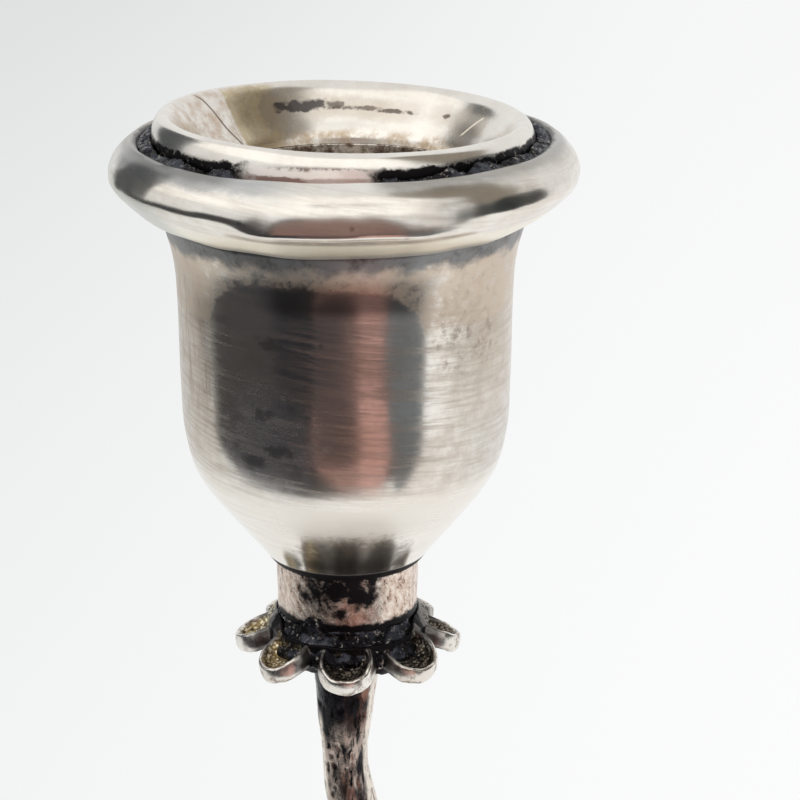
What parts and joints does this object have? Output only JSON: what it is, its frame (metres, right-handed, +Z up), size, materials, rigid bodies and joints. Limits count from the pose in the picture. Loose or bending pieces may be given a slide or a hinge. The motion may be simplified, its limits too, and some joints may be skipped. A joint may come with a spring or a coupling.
{
  "type": "candlestick",
  "caption": "Tall silver candlestick: a lift-out candle nozzle in a bell-shaped socket with a rim bead and petal calyx, on a bent stalk and a weighted round foot.",
  "frame": {"origin": "centre of the underside of the foot, on the axis of the candle socket", "axes": "+Z up along the candle, +X towards the side the stalk bends to, -Y is the front"},
  "size_m": [0.092, 0.092, 0.18],
  "materials": {
    "polished_silver": "hand-polished silver with fine brush marks",
    "tarnished_silver": "silver with mottled brown and black tarnish",
    "gilt_silver": "stippled silver with traces of gilding in the hollows",
    "oxidised_silver": "dark oxidised and pitted",
    "steel": "plain",
    "cast_iron": "as cast",
    "felt": "matt felt"
  },
  "bodies": {
    "stand": {"rim_moulding": "polished_silver", "socket_cup": "polished_silver", "cup_collar": "tarnished_silver", "calyx": "gilt_silver", "socket_stud": "steel", "socket_washer": "steel", "socket_nut": "steel", "stalk": "oxidised_silver", "foot_rosette": "gilt_silver", "foot_dome": "polished_silver", "foot_moulding": "polished_silver", "foot_plate": "steel", "ballast": "cast_iron", "foot_stud": "steel", "foot_washer": "steel", "foot_nut": "steel", "base_pad": "felt"},
    "nozzle": {"nozzle_flange": "polished_silver", "nozzle_sleeve": "polished_silver", "nozzle_floor": "polished_silver"}
  },
  "joints": [
    {"name": "nozzle_lift", "type": "slide", "parent": "stand", "child": "nozzle", "axis": [0, 0, 1], "range_m": [0, 0.032]}
  ]
}
